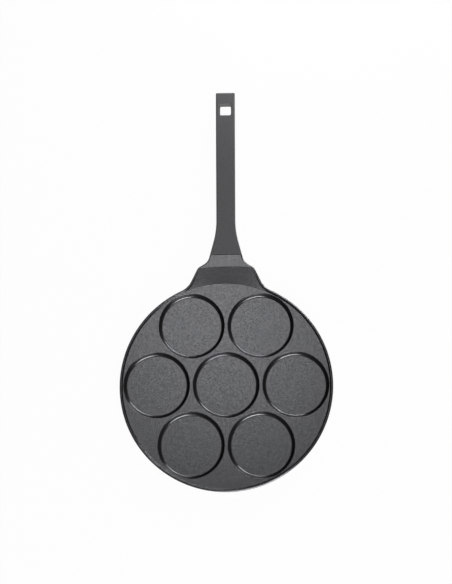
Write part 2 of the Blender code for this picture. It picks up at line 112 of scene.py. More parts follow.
class CastingSizes(PropertyGroup):
    """Sizes of the casting. The edges of its recesses and its rim are finer than the solid's."""
    rim_radius: length("Rim radius", "Outside of the rim", PAN_HIGH.x / MM)
    rim_z: length("Rim height", "Top of the rim and the neck above the hob", PAN_HIGH.z / MM)
    rim_height: length("Rim above land", "Height of the rim above the land", 2.4)
    rim_top_width: length("Rim width", "Width of the rim's top with its outer rounding", 2.5)
    rim_wall_run: length("Rim wall run", "How far the rim's inner wall leans out", 1.3)
    wall_foot_z: length("Wall foot", "Underside of the wall above the hob", 1.5)
    recess_count: IntProperty(name="Recesses in the ring", default=6, min=1, max=12,
                              description="Recesses round the central one")
    recess_depth: length("Recess depth", "Depth of a recess below the land", 4.6)
    recess_radius: length("Recess radius", "Where the land ends", 42.3)
    recess_wall_run: length("Recess wall run", "From there in to where the floor starts", 4.8)
    recess_top_round: length("Recess edge", "Rounding between the land and a recess", 0.35)
    recess_floor_round: length("Recess foot", "Rounding between the wall and the floor", 2.2)
    recess_to_wall: length("Recess to rim", "Land between a recess and the rim's wall", 0.9)
    top_edge: length("Outer edge", "Rounding of the outer top edge", 1.8)
    under_edge: length("Lower edge", "Rounding of the outer lower edge", 3.0)
    side_draft: angle("Draft", "How far the side walls lean in on their way down", 6.0)
    rim_inner_edge: length("Rim inner edge", "Rounding of the rim's inner top edge", 0.6)
    rim_inner_foot: length("Rim inner foot", "Rounding between the land and the rim", 0.8)
    bay_step: length("Bay step", "Small step where the land meets the sloping face", 0.18)
    lip_step: length("Lip step", "Small step between the sloping face and the neck", 0.18)
    lip_past_rim: length("Lip", "Where the sloping face ends, past the rim", 18.8)
    lip_round: length("Lip radius", "Radius of the lip, seen from above", 350.0)
    pad_inset: length("Base inset", "The turned base face ends this far inside the rim", 18.0)
    pad_run: length("Base slope", "The slope from the base face out to the underside", 7.0)


class HandleSizes(PropertyGroup):
    """Sizes of the moulded handle."""
    grip_half_width: length("Grip half width", "Half the width at the thin part", 12.3)
    end_half_width: length("End half width", "Half the width at the end", 12.55)
    grip_depth: length("Grip thickness", "Thickness of the grip", 15.0)
    depth_grows_over: length("Thickening", "Length over which the handle thickens", 70.0)
    end_slope: angle("End slope", "Rise at both ends of the handle", 2.2)
    mid_slope: angle("Middle slope", "Rise half way along the handle", 5.6)
    front_edge: length("Front edge", "Rounding of the edge at the seam", 0.3)
    end_edge: length("End edge", "Rounding of the edge at the far end", 1.6)
    hole_width: length("Hole width", "Width of the hanging hole", 14.6)
    hole_length: length("Hole length", "Length of the hanging hole", 16.0)
    hole_to_end: length("Hole to end", "From the hanging hole to the handle's end", 14.8)
    hole_corner: length("Hole corner", "Corner radius of the hanging hole", 2.0)
    hole_edge: length("Hole edge", "Rounding where the hole meets the skin", 0.9)


class FasteningSizes(PropertyGroup):
    """Sizes of the tang, the screw and its washer."""
    tang_slope: angle("Tang slope", "Rise of the tang", 2.6)
    tang_length: length("Tang length", "Length of the tang past the seam", 50.0)
    screw_from_tip: length("Screw place", "The screw's axis, from the tang's tip", 16.0)
    screw_diameter: length("Screw diameter", "Outside of the screw's thread", 5.0)
    thread_pitch: length("Thread pitch", "From one turn of the thread to the next", 0.8)
    head_diameter: length("Head diameter", "Diameter of the screw's head", 9.6)
    head_height: length("Head height", "Height of the screw's head", 2.4)
    washer_diameter: length("Washer diameter", "Outside of the spring washer", 9.2)
    washer_thickness: length("Washer thickness", "Thickness of the spring washer", 1.1)
    washer_split: length("Washer split", "Gap between the washer's two ends", 0.8)


class Finishes(PropertyGroup):
    """Colours and surfaces."""
    coat: colour("Coating", "Dark grey non-stick coating", (0.096, 0.097, 0.102))
    coat_fleck: colour("Coating flecks", "Lighter grains in the coating", (0.208, 0.211, 0.219))
    coat_roughness: share("Coating roughness", "How matt the coating is", 0.248)
    moulding: colour("Handle", "Dark grey moulding", (0.115, 0.112, 0.117))
    moulding_roughness: share("Handle roughness", "How matt the handle is", 0.45)
    bare_metal: colour("Bare metal", "Turned aluminium of the base face", (0.72, 0.72, 0.73))
    plating: colour("Plating", "Zinc plating of the screw and the washer", (0.66, 0.66, 0.64))
    floor: colour("Floor", "Pale ground under the pan", (0.86, 0.86, 0.86))


# The neck's outline: half widths, distances past the rim, and angles off straight back
FLANK_X = 42.7 * MM
FLANK_PAST_RIM = 4.0 * MM
FLANK_ANGLE = radians(25.5)
FLANK_ROOT_ROUND = 27.0 * MM
SHOULDER_X = 31.6 * MM
SHOULDER_PAST_RIM = 20.3 * MM
SHOULDER_ANGLE = radians(32.0)    # off straight across
SHOULDER_ROUND = 10.0 * MM
NECK_ROUND = 14.0 * MM
FLARE_ANGLE = radians(15.0)
FLARE_ROUND = 110.0 * MM
SEAM_PAST_RIM = 34.3 * MM
SEAM_HALF_WIDTH = 20.85 * MM
SEAM_OPEN = 0.45 * MM             # how much further back the handle's face stands at the seam
FIT_GAP = 0.3 * MM

# The bay and its small steps
BAY_CORNER = 13.0 * MM
BAY_BEHIND_LIP = 0.4 * MM
STEP_CLEAR = 0.02 * MM            # the small step starts this far above the land
STEP_LEAN = 0.6                   # run of a small step's wall, in step heights
CREST_SHARE = 2.0                 # rounding of a small step's upper edge, in step heights
LIP_SHARE = 0.3                   # rounding at the foot of the lip's step, in step heights

# The tang, its socket, and the least rounding of the handle's skin
TANG_TOP_WALL = 2.3 * MM
TANG_UNDER_WALL = 4.6 * MM
TANG_ROOT = 5.0 * MM
TANG_ROOT_SIDE_WALL = 7.6 * MM
TANG_TIP_SIDE_WALL = 4.3 * MM
TANG_CORNER = 2.5 * MM
LEAST_ROUND = 0.2 * MM
HOLE_EDGE_TURN = radians(80.0)    # short of square, so that the hole's cutter can run on out

# The screw and its washer
SCREW_BELOW_SKIN = 0.4 * MM
COUNTERBORE_CLEARANCE = 1.0 * MM
HEAD_DOME = 0.9 * MM
HEAD_EDGE = 0.2 * MM
TIP_CHAMFER = 0.6 * MM
THREAD_DEPTH = 0.4 * MM
DRIVE_SPAN = 5.0 * MM
DRIVE_WIDTH = 1.2 * MM
DRIVE_DEPTH = 1.4 * MM
DRIVE_DEEP_SPAN = 0.62            # span at the cross's bottom, as a share of DRIVE_SPAN
DRIVE_DEEP_WIDTH = 0.7            # width there, as a share of DRIVE_WIDTH
DRIVE_FLARE = 0.3                 # growth of its cutter past the head's face, per depth
WASHER_EDGE = 0.15 * MM
WASHER_RISE = 0.2 * MM


def pan():
    """The casting's sizes."""
    return bpy.context.scene.pancake_casting


def grip():
    """The handle's sizes."""
    return bpy.context.scene.pancake_handle


def fixing():
    """The fastening's sizes."""
    return bpy.context.scene.pancake_fixing


def finish():
    """The colours and surfaces."""
    return bpy.context.scene.pancake_finish


# Points, lines and arcs in a plane

def arc(centre, radius, start, end, steps):
    """Points on an arc, both ends included."""
    turns = [start + (end - start) * i / steps for i in range(steps + 1)]
    return [(centre[0] + radius * cos(a), centre[1] + radius * sin(a)) for a in turns]


def line_crossing(p, p_angle, q, q_angle):
    """Where two lines meet, each given by a point and a direction."""
    px, py = cos(p_angle), sin(p_angle)
    qx, qy = cos(q_angle), sin(q_angle)
    along = ((q[0] - p[0]) * qy - (q[1] - p[1]) * qx) / (px * qy - py * qx)
    return (p[0] + along * px, p[1] + along * py)


def rounded_corner(before, corner, after, radius, steps=CORNER_STEPS):
    """The arc that replaces the corner between two straight stretches."""
    a = Vector((before[0] - corner[0], before[1] - corner[1])).normalized()
    b = Vector((after[0] - corner[0], after[1] - corner[1])).normalized()
    half = a.angle(b) / 2
    centre = Vector(corner) + (a + b).normalized() * (radius / sin(half))
    first = Vector(corner) + a * (radius / tan(half)) - centre
    last = Vector(corner) + b * (radius / tan(half)) - centre
    start = atan2(first.y, first.x)
    turn = (atan2(last.y, last.x) - start + pi) % FULL_TURN - pi
    return arc(centre, radius, start, start + turn, steps)


def mirrored(half):
    """Close a half outline, given on the +X side from front to back, with its mirror image."""
    return half + [(-x, y) for x, y in reversed(half)]


def rectangle(wide, deep):
    """Corners of a rectangle about the origin, given by half its sides."""
    return [(-wide, -deep), (wide, -deep), (wide, deep), (-wide, deep)]


def rounded_outline(corners, radius):
    """A closed outline with each of its corners rounded alike."""
    points = []
    for i, corner in enumerate(corners):
        before, after = corners[i - 1], corners[(i + 1) % len(corners)]
        points += rounded_corner(before, corner, after, radius)
    return points


def run_on(points, rise):
    """Run a profile's last stretch on through the face where it ends, and then straight up."""
    (x0, z0), (x1, z1) = points[-2:]
    return points[:-1] + [(2 * x1 - x0, 2 * z1 - z0), (2 * x1 - x0, z1 + rise)]


# Points in space

def lifted(points, z):
    """A flat outline at a height."""
    return [(x, y, z) for x, y in points]


def level_ring(radius, z, steps, y=0.0):
    """Points round a level circle, whose middle may lie back along Y."""
    turns = [FULL_TURN * i / steps for i in range(steps)]
    return [(radius * cos(a), y + radius * sin(a), z) for a in turns]


# Meshes

def add_object(name, data, matrix=None):
    """An object of this mesh, lamp or camera. A matrix is for a mesh, and goes into it."""
    if matrix is not None:
        data.transform(matrix)
    obj = bpy.data.objects.new(name, data)
    bpy.context.scene.collection.objects.link(obj)
    return obj


def loft(name, rings, matrix=None):
    """A closed solid through rings of equally many points, from one end to the other."""
    form = bmesh.new()
    loops = [[form.verts.new(point) for point in ring] for ring in rings]
    for loop, following in zip(loops, loops[1:]):
        for i in range(len(loop)):
            j = (i + 1) % len(loop)
            form.faces.new((loop[i], loop[j], following[j], following[i]))
    form.faces.new(loops[0])
    form.faces.new(list(reversed(loops[-1])))
    bmesh.ops.recalc_face_normals(form, faces=form.faces)
    mesh = bpy.data.meshes.new(name)
    form.to_mesh(mesh)
    form.free()
    return add_object(name, mesh, matrix)


def turned(name, profile, steps, matrix=None):
    """A solid of revolution about Z, closed flat where its profile starts and ends."""
    return loft(name, [level_ring(r, z, steps) for r, z in profile], matrix)


def prism(name, points, low, high, matrix=None):
    """A flat outline given a thickness."""
    return loft(name, [lifted(points, z) for z in (low, high)], matrix)


def wedge(name, top, bottom, high, low, matrix=None):
    """A four-sided cutter whose top and bottom have different sizes."""
    ends = ((bottom, low), (top, high))
    rings = [lifted(rectangle(wide / 2, deep / 2), z) for (wide, deep), z in ends]
    return loft(name, rings, matrix)


def settle(obj):
    """Turn an object with its modifiers into a plain mesh."""
    graph = bpy.context.evaluated_depsgraph_get()
    mesh = bpy.data.meshes.new_from_object(obj.evaluated_get(graph))
    obj.modifiers.clear()
    obj.data = mesh


def boolean(target, tool, operation="DIFFERENCE"):
    """Cut the target with a tool, or join the tool to it, and drop the tool."""
    modifier = target.modifiers.new(tool.name, "BOOLEAN")
    modifier.operation = operation
    modifier.solver = "EXACT"
    modifier.object = tool
    settle(target)
    bpy.data.objects.remove(tool, do_unlink=True)


def shade(obj):
    """Shade smooth, with flats kept flat and real edges sharp."""
    obj.data.shade_smooth()
    obj.data.set_sharp_from_angle(angle=SHARP_ANGLE)
    weighting = obj.modifiers.new("flats", "WEIGHTED_NORMAL")
    weighting.mode = "FACE_AREA"
    weighting.weight = FLAT_WEIGHT
    weighting.keep_sharp = True
    settle(obj)


def place_piece(obj, node):
    """Let a finished piece stand for its solid."""
    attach(obj, "root")
    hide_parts(node)


# Trees of nodes

def add_node(tree, kind, inputs=None, **settings):
    """A node with its settings, and its inputs as values or as another node's output."""
    node = tree.nodes.new(kind)
    for key, value in settings.items():
        setattr(node, key, value)
    for key, value in (inputs or {}).items():
        if isinstance(value, bpy.types.NodeSocket):
            tree.links.new(value, node.inputs[key])
        else:
            node.inputs[key].default_value = value
    return node


def maths(tree, operation, *values):
    """A calculation on numbers and other nodes' outputs: the output that holds its result."""
    return add_node(tree, "ShaderNodeMath", dict(enumerate(values)), operation=operation).outputs[0]


def mixed_value(tree, factor, low, high):
    """A value between two others: the output that holds it."""
    return add_node(tree, "ShaderNodeMix", {"Factor": factor, "A": low, "B": high},
                    data_type="FLOAT").outputs[0]


def node_group(name, kind, inputs, outputs):
    """An empty node group with named sockets, and its two end nodes."""
    tree = bpy.data.node_groups.new(name, kind)
    for label, socket_type, value in inputs:
        socket = tree.interface.new_socket(label, in_out="INPUT", socket_type=socket_type)
        if value is not None:
            socket.default_value = value
    for label, socket_type in outputs:
        tree.interface.new_socket(label, in_out="OUTPUT", socket_type=socket_type)
    return tree, tree.nodes.new("NodeGroupInput"), tree.nodes.new("NodeGroupOutput")


def close_tree(tree, start, end, geometry):
    """Let a geometry tree put out this shape as a real mesh, in the material that it is given."""
    real = add_node(tree, "GeometryNodeRealizeInstances", {0: geometry})
    done = add_node(tree, "GeometryNodeSetMaterial",
                    {"Geometry": real.outputs[0], "Material": start.outputs["Material"]})
    tree.links.new(done.outputs[0], end.inputs[0])
    return tree


def run_tree(obj, tree, values):
    """Put an object through a geometry tree, whose inputs are set by their identifiers."""
    modifier = obj.modifiers.new(tree.name, "NODES")
    modifier.node_group = tree
    for item in tree.interface.items_tree:
        if item.item_type == "SOCKET" and item.in_out == "INPUT" and item.name in values:
            modifier[item.identifier] = values[item.name]
    settle(obj)


# Materials

# Size of a grain, and the share of the coarser mottling in it
COAT_GRAIN = (0.68 * MM, 0.1)
STREAK_GRAIN = (0.45 * MM, 0.3)
MOULDING_GRAIN = (0.6 * MM, 0.35)
PLATING_GRAIN = (0.5 * MM, 0.7)
GRAIN_SMOOTHNESS = 0.4            # how softly one grain runs into the next
MOTTLE_SCALE = 0.3                # scale of the mottling, against the grains'
MOTTLE_RANGE = (0.3, 0.7)         # the noise values that are spread over the whole mask

# Depth and strength of a bump
COAT_BUMP = (0.02 * MM, 0.3)
MOULDING_BUMP = (0.02 * MM, 0.4)
TURNED_BUMP = (0.04 * MM, 0.6)
PLATING_BUMP = (0.01 * MM, 0.4)

COAT_METALLIC = 0.95
COAT_ROUGH_SHIFT = 0.02           # its grains are this much smoother, and the rest rougher
EDGE_TINT = 0.35                  # how much the coating reflects at a grazing angle
STREAK_SQUEEZE = 0.04             # scale along the neck, which draws its grains out
STREAK_SHARE = 0.6                # how much of the neck's grain is drawn out
MOULDING_SHIFT = 0.2              # how much darker and lighter than its colour the grains are
MOULDING_ROUGH_SHIFTS = (-0.03, 0.05)    # off its roughness, at the dark and the light grains
TURNED_ROUGHNESS = 0.32
TURNED_PITCH = 0.9 * MM           # from one ring of the lathe to the next
TURNED_NOISE_SCALE = 1400.0       # of the unevenness across the rings, per metre
TURNED_RING_SHARE = 0.5           # height of the even rings, against the unevenness
BRIGHT_METAL = 1.12
DULL_PLATING = 0.82
PLATING_ROUGHNESS = (0.34, 0.22)


def grain_group():
    """Grains of unlike brightness over a soft mottling: a mask for colour, a height for bump."""
    name = "fine_grain"
    if name in bpy.data.node_groups:
        return bpy.data.node_groups[name]
    tree, start, end = node_group(
        name, "ShaderNodeTree",
        [("Vector", "NodeSocketVector", None), ("Grain size", "NodeSocketFloat", 0.5 * MM),
         ("Coarse share", "NodeSocketFloat", 0.5)],
        [("Mask", "NodeSocketFloat"), ("Height", "NodeSocketFloat")])
    place = start.outputs["Vector"]
    scale = maths(tree, "DIVIDE", 1.0, start.outputs["Grain size"])
    cells = add_node(tree, "ShaderNodeTexVoronoi",
                     {"Vector": place, "Scale": scale, "Smoothness": GRAIN_SMOOTHNESS},
                     feature="SMOOTH_F1")
    fine = add_node(tree, "ShaderNodeSeparateColor", {0: cells.outputs["Color"]})
    coarse_scale = maths(tree, "MULTIPLY", scale, MOTTLE_SCALE)
    coarse = add_node(tree, "ShaderNodeTexNoise",
                      {"Vector": place, "Scale": coarse_scale, "Detail": 1.0})
    soft = add_node(tree, "ShaderNodeMapRange",
                    {"Value": coarse.outputs[0], "From Min": MOTTLE_RANGE[0],
                     "From Max": MOTTLE_RANGE[1]})
    mask = mixed_value(tree, start.outputs["Coarse share"], fine.outputs[0], soft.outputs[0])
    tree.links.new(mask, end.inputs["Mask"])
    tree.links.new(cells.outputs["Distance"], end.inputs["Height"])
    return tree


def new_material(name, **sockets):
    """A Principled material with plain sockets set, and its tree and shader."""
    material = bpy.data.materials.new(name)
    material.use_nodes = True
    tree = material.node_tree
    shader = tree.nodes["Principled BSDF"]
    for key, value in sockets.items():
        shader.inputs[key.replace("_", " ")].default_value = value
    return material, tree, shader


def own_place(tree):
    """A point's place on its piece, for a pattern to follow."""
    return add_node(tree, "ShaderNodeTexCoord").outputs["Object"]


def use_grain(tree, vector, size, coarse):
    """Place the grain group in a material."""
    return add_node(tree, "ShaderNodeGroup",
                    {"Vector": vector, "Grain size": size, "Coarse share": coarse},
                    node_tree=grain_group())


def tint(tree, shader, mask, low, high):
    """Colour a surface from one colour to another by a mask."""
    node = add_node(tree, "ShaderNodeMix",
                    {"Factor": mask, "A": (*low, 1.0), "B": (*high, 1.0)}, data_type="RGBA")
    tree.links.new(node.outputs["Result"], shader.inputs["Base Color"])


def roughen(tree, shader, mask, low, high):
    """Vary a surface's roughness between two values by a mask."""
    node = add_node(tree, "ShaderNodeMapRange", {"Value": mask, "To Min": low, "To Max": high})
    tree.links.new(node.outputs[0], shader.inputs["Roughness"])


def bump(tree, shader, height, distance, strength):
    """Feed a height to the shader's normal."""
    node = add_node(tree, "ShaderNodeBump",
                    {"Height": height, "Distance": distance, "Strength": strength})
    tree.links.new(node.outputs["Normal"], shader.inputs["Normal"])


def coating_material():
    """Dark grey coating over cast aluminium: satin, with light grains, drawn out on the neck."""
    tone = finish()
    material, tree, shader = new_material("speckled_coating", Metallic=COAT_METALLIC,
                                          Specular_Tint=(*[EDGE_TINT] * 3, 1.0))
    place = own_place(tree)
    grain = use_grain(tree, place, *COAT_GRAIN)
    drawn = add_node(tree, "ShaderNodeVectorMath", {0: place, 1: (1.0, STREAK_SQUEEZE, 1.0)},
                     operation="MULTIPLY")
    streaks = use_grain(tree, drawn.outputs[0], *STREAK_GRAIN)
    along = add_node(tree, "ShaderNodeSeparateXYZ", {0: place})
    past_lip = maths(tree, "GREATER_THAN", along.outputs["Y"], lip_y())
    on_top = maths(tree, "GREATER_THAN", along.outputs["Z"], pan().rim_z - pan().top_edge)
    on_neck = maths(tree, "MULTIPLY", past_lip, on_top)
    share_drawn = maths(tree, "MULTIPLY", on_neck, STREAK_SHARE)
    speckle = mixed_value(tree, share_drawn, grain.outputs["Mask"], streaks.outputs["Mask"])
    tint(tree, shader, speckle, tone.coat, tone.coat_fleck)
    roughen(tree, shader, grain.outputs["Mask"], tone.coat_roughness + COAT_ROUGH_SHIFT,
            tone.coat_roughness - COAT_ROUGH_SHIFT)
    bump(tree, shader, grain.outputs["Height"], *COAT_BUMP)
    return material


def moulding_material():
    """Matt dark grey moulding with a very fine grain."""
    tone = finish()
    material, tree, shader = new_material("grained_moulding")
    grain = use_grain(tree, own_place(tree), *MOULDING_GRAIN)
    low = [c * (1 - MOULDING_SHIFT) for c in tone.moulding]
    high = [c * (1 + MOULDING_SHIFT) for c in tone.moulding]
    tint(tree, shader, grain.outputs["Mask"], low, high)
    roughen(tree, shader, grain.outputs["Mask"],
            *(tone.moulding_roughness + shift for shift in MOULDING_ROUGH_SHIFTS))
    bump(tree, shader, grain.outputs["Height"], *MOULDING_BUMP)
    return material


def turned_metal_material():
    """Bare aluminium with fine rings from the lathe."""
    metal = finish().bare_metal
    material, tree, shader = new_material("turned_base", Metallic=1.0,
                                          Roughness=TURNED_ROUGHNESS)
    flat = add_node(tree, "ShaderNodeVectorMath", {0: own_place(tree), 1: (1.0, 1.0, 0.0)},
                    operation="MULTIPLY")
    radius = add_node(tree, "ShaderNodeVectorMath", {0: flat.outputs[0]},
                      operation="LENGTH").outputs["Value"]
    phase = maths(tree, "MULTIPLY", radius, FULL_TURN / TURNED_PITCH)
    rings = maths(tree, "SINE", phase)
    across = maths(tree, "MULTIPLY", radius, TURNED_NOISE_SCALE)
    uneven = add_node(tree, "ShaderNodeTexNoise", {"W": across, "Detail": 3.0},
                      noise_dimensions="1D").outputs[0]
    height = maths(tree, "MULTIPLY_ADD", rings, TURNED_RING_SHARE, uneven)
    tint(tree, shader, uneven, metal, [c * BRIGHT_METAL for c in metal])
    bump(tree, shader, height, *TURNED_BUMP)
    return material


def plated_steel_material():
    """Zinc-plated steel with slight cloudiness."""
    zinc = finish().plating
    material, tree, shader = new_material("zinc_plating", Metallic=1.0)
    grain = use_grain(tree, own_place(tree), *PLATING_GRAIN)
    tint(tree, shader, grain.outputs["Mask"], [c * DULL_PLATING for c in zinc], zinc)
    roughen(tree, shader, grain.outputs["Mask"], *PLATING_ROUGHNESS)
    bump(tree, shader, grain.outputs["Height"], *PLATING_BUMP)
    return material


MATERIALS = {
    "speckled_coating": coating_material,
    "grained_moulding": moulding_material,
    "turned_base": turned_metal_material,
    "zinc_plating": plated_steel_material,
}


def cached(name):
    """A material by its name, made once."""
    return bpy.data.materials.get(name) or MATERIALS[name]()


# The casting

def drawn_in(x, past_rim, direction, inset):
    """A line of the neck's outline on the +X side, moved inwards: a point and its direction."""
    y = pan().rim_radius + past_rim
    return (x - inset * sin(direction), y + inset * cos(direction)), direction


def flank_line(inset):
    """The neck's flank."""
    return drawn_in(FLANK_X, FLANK_PAST_RIM, pi / 2 + FLANK_ANGLE, inset)


def root_arc(inset):
    """The hollow corner between the rim's circle and the flank, from the circle on."""
    point, direction = flank_line(-FLANK_ROOT_ROUND)
    beside, along = Vector(point), Vector((cos(direction), sin(direction)))
    reach = pan().rim_radius + FLANK_ROOT_ROUND
    ahead = beside.dot(along)
    slide = -ahead + sqrt(ahead * ahead - beside.length_squared + reach * reach)
    centre = beside + along * slide
    start = atan2(-centre.y, -centre.x)
    return arc(centre, FLANK_ROOT_ROUND + inset, start, direction - 3 * pi / 2, ROOT_STEPS)


def seam_y():
    """Where the casting ends and the handle starts."""
    return pan().rim_radius + SEAM_PAST_RIM


def lip_y():
    """Where the sloping face ends at the neck."""
    return pan().rim_radius + pan().lip_past_rim


def land_z():
    """Height of the land between the recesses."""
    return pan().rim_z - pan().rim_height


def neck_depth():
    """Thickness of the neck, and of the handle where it meets the neck."""
    return pan().rim_z - pan().wall_foot_z


def foot_radius():
    """Where the rim's inner wall meets the land."""
    return pan().rim_radius - pan().rim_top_width - pan().rim_wall_run


def neck_half_outline(inset):
    """The casting's outline on the +X side, from the rim's circle to the seam."""
    flank = flank_line(inset)
    shoulder = drawn_in(SHOULDER_X, SHOULDER_PAST_RIM, pi - SHOULDER_ANGLE, inset)
    flare = drawn_in(SEAM_HALF_WIDTH, SEAM_PAST_RIM, pi / 2 + FLARE_ANGLE, inset)
    outer = line_crossing(*flank, *shoulder)
    inner = line_crossing(*shoulder, *flare)
    seam = (SEAM_HALF_WIDTH - inset / cos(FLARE_ANGLE), seam_y())
    points = root_arc(inset)
    points += rounded_corner(flank[0], outer, inner, SHOULDER_ROUND - inset)
    points += rounded_corner(outer, inner, seam, NECK_ROUND + inset)
    return points + [seam]


def pan_outline(inset):
    """The casting's outline: the rim's circle, opened at the back into the neck."""
    neck = neck_half_outline(inset)
    leave = atan2(neck[0][1], neck[0][0])
    circle = arc((0.0, 0.0), pan().rim_radius - inset, -pi / 2, leave, RIM_STEPS // 2)
    return mirrored(circle[1:-1] + neck) + [circle[0]]


def wall_section():
    """The outer wall, from its rounded top edge down: how far drawn in, and height."""
    p = pan()
    top = arc((p.top_edge, p.rim_z - p.top_edge), p.top_edge, pi / 2, pi, EDGE_STEPS)
    lean = (p.rim_z - p.wall_foot_z - p.top_edge - p.under_edge) * tan(p.side_draft)
    foot = arc((lean + p.under_edge, p.wall_foot_z + p.under_edge), p.under_edge,
               pi, 3 * pi / 2, EDGE_STEPS)
    return top + foot


def rim_wall_profile():
    """The rim's inner wall from the land up, past its rounded edge: outwards, and height."""
    p = pan()
    wall_top = (p.rim_wall_run, p.rim_height)
    points = rounded_corner((-1.0, 0.0), (0.0, 0.0), wall_top, p.rim_inner_foot, EDGE_STEPS)
    points += rounded_corner((0.0, 0.0), wall_top, (1.0, p.rim_height), p.rim_inner_edge,
                             EDGE_STEPS)
    return run_on(points, CUT_OVER)


def dish_tool():
    """What the dish removes, above the land and inside the rim."""
    profile = [(foot_radius() + out, land_z() + up) for out, up in rim_wall_profile()]
    return turned("dish", profile, RIM_STEPS)


def bay_outline(outset):
    """The bay between the neck's flanks, measured out from the foot of its wall."""
    inset = pan().rim_top_width + pan().rim_wall_run - outset
    flank, direction = flank_line(inset)
    root = root_arc(inset)
    back = (0.0, lip_y() + BAY_BEHIND_LIP + outset)
    corner = line_crossing(flank, direction, back, pi)
    front = (root[0][0], foot_radius() / 2)
    return mirrored([front] + root + rounded_corner(flank, corner, back, BAY_CORNER + outset))


def ramp_profile():
    """The sloping face from the land to past the lip: distance out along it, and height."""
    p = pan()
    run = lip_y() - foot_radius()
    foot = (STEP_CLEAR, STEP_CLEAR)
    brow = (STEP_LEAN * p.bay_step, p.bay_step)
    lip, crest = (run, p.rim_height - p.lip_step), (run + STEP_LEAN * p.lip_step, p.rim_height)
    crest_round, lip_round = CREST_SHARE * p.lip_step, LIP_SHARE * p.lip_step
    points = [foot] + rounded_corner(foot, brow, lip, CREST_SHARE * p.bay_step, EDGE_STEPS)
    points += rounded_corner(brow, lip, crest, lip_round, EDGE_STEPS)
    points += rounded_corner(lip, crest, (2 * run, p.rim_height), crest_round, EDGE_STEPS)
    return run_on(points, CUT_OVER)


def bay_tool():
    """What lies above the bay's sloping face, between its leaning walls."""
    walls = [(out, land_z() + up) for out, up in rim_wall_profile()]
    walls.insert(0, (walls[0][0], land_z() - CUT_OVER))
    bay = loft("bay", [lifted(bay_outline(out), z) for out, z in walls])
    run = lip_y() - foot_radius()
    rings = []
    for out, height in ramp_profile():
        radius = foot_radius() + (pan().lip_round - foot_radius()) * out / run
        middle = foot_radius() + out - radius
        rings.append(level_ring(radius, land_z() + height, LIP_STEPS, middle))
    boolean(bay, loft("ramp", rings), "INTERSECT")
    return bay


def recess_profile():
    """Half section of what a recess removes, from above the land to its floor."""
    p = pan()
    floor_z = land_z() - p.recess_depth
    rounds = p.recess_top_round + p.recess_floor_round
    up = rounds - p.recess_depth
    lean = asin(rounds / hypot(p.recess_wall_run, up)) - atan2(up, p.recess_wall_run)
    upper = (p.recess_radius, land_z() - p.recess_top_round)
    lower = (p.recess_radius - p.recess_wall_run, floor_z + p.recess_floor_round)
    top = arc(upper, p.recess_top_round, pi / 2, pi / 2 + lean, EDGE_STEPS)
    foot = arc(lower, p.recess_floor_round, -pi / 2 + lean, -pi / 2, EDGE_STEPS)
    return [(p.recess_radius, land_z() + CUT_OVER)] + top + foot


def base_pad():
    """The turned base that stands on the hob, up into the underside."""
    p = pan()
    radius = p.rim_radius - p.pad_inset
    inside = (land_z() - p.recess_depth) / 2
    outside = radius + p.pad_run * inside / p.wall_foot_z
    return turned("base_pad", [(outside, inside), (radius, 0.0)], RIM_STEPS)


def tang_frame():
    """Where the tang leaves the neck: its top face on the seam, leaning with the handle."""
    place = Matrix.Translation((0.0, seam_y(), pan().rim_z - TANG_TOP_WALL - FIT_GAP))
    return place @ Matrix.Rotation(fixing().tang_slope, 4, "X")


def tang_depth():
    """Thickness of the tang."""
    return neck_depth() - TANG_TOP_WALL - TANG_UNDER_WALL


def tang_outline(clearance, root, reach):
    """The tang from above, tapering to its tip; with a clearance it is the socket."""
    at_root = SEAM_HALF_WIDTH - TANG_ROOT_SIDE_WALL
    at_tip = grip().grip_half_width - TANG_TIP_SIDE_WALL
    taper = (at_root - at_tip) / fixing().tang_length
    back = at_root + taper * root + clearance
    tip = at_root - taper * reach + clearance
    corners = [(-back, -root), (back, -root), (tip, reach), (-tip, reach)]
    return rounded_outline(corners, TANG_CORNER)


def screw_along():
    """The screw's place along the tang, from the seam."""
    return fixing().tang_length - fixing().screw_from_tip


def screw_frame():
    """The screw's axis, square to the tang, with its zero at the tang's top face."""
    return tang_frame() @ Matrix.Translation((0.0, screw_along(), 0.0))


def recess_tree():
    """Cuts one recess in the middle of the casting and a ring of them round it."""
    tree, start, end = node_group(
        "recess_pattern", "GeometryNodeTree",
        [("Casting", "NodeSocketGeometry", None), ("Recess", "NodeSocketObject", None),
         ("Count", "NodeSocketInt", 6), ("Ring radius", "NodeSocketFloat", 88.0 * MM),
         ("Material", "NodeSocketMaterial", None)],
        [("Geometry", "NodeSocketGeometry")])
    ring = add_node(tree, "GeometryNodeMeshCircle",
                    {"Vertices": start.outputs["Count"], "Radius": start.outputs["Ring radius"]})
    middle = add_node(tree, "GeometryNodeMeshLine", {"Count": 1})
    places = add_node(tree, "GeometryNodeJoinGeometry")
    for source in (ring, middle):
        tree.links.new(source.outputs[0], places.inputs[0])
    tool = add_node(tree, "GeometryNodeObjectInfo", {"Object": start.outputs["Recess"]})
    copies = add_node(tree, "GeometryNodeInstanceOnPoints",
                      {"Points": places.outputs[0], "Instance": tool.outputs["Geometry"]})
    real = add_node(tree, "GeometryNodeRealizeInstances", {0: copies.outputs[0]})
    cut = add_node(tree, "GeometryNodeMeshBoolean",
                   {"Mesh 1": start.outputs["Casting"], "Mesh 2": real.outputs[0]},
                   operation="DIFFERENCE", solver="EXACT")
    return close_tree(tree, start, end, cut.outputs["Mesh"])


